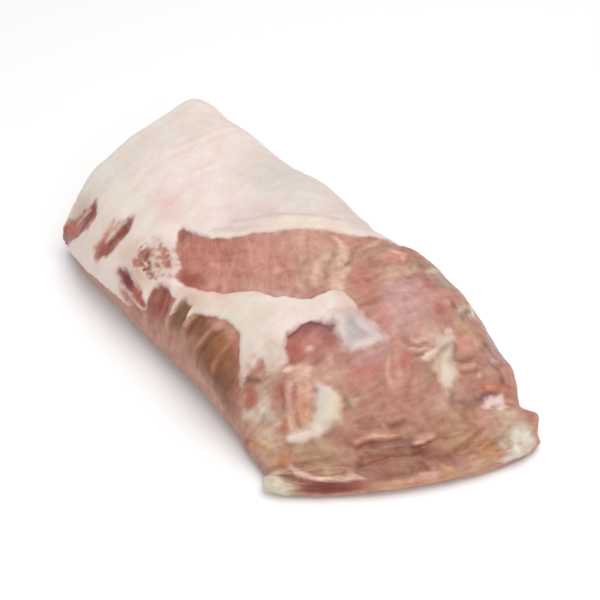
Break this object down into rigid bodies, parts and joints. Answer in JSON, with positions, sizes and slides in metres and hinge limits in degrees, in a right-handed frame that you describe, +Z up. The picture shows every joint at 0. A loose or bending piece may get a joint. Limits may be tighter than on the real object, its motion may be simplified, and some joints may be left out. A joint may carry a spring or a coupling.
{
  "type": "boneless pork sirloin",
  "caption": "Boneless raw pork sirloin joint with a pale fat cap on the loin end and bare trimmed muscle sloping down to a thin flap at the sirloin end.",
  "frame": {"origin": "centre of the bounding box at the foot of the piece, on the surface it lies on", "axes": "+X along the piece from the loin end to the sirloin end, +Y to the back side, -Y to the rib side, +Z up through the fat cap"},
  "size_m": [0.3706, 0.1824, 0.0852],
  "materials": {
    "raw_pork": "moist raw pork: pale pink fat cap, brownish pink lean muscle, white fat bands and a soft wet sheen"
  },
  "bodies": {
    "root": {"pork_sirloin": "raw_pork"}
  },
  "joints": []
}
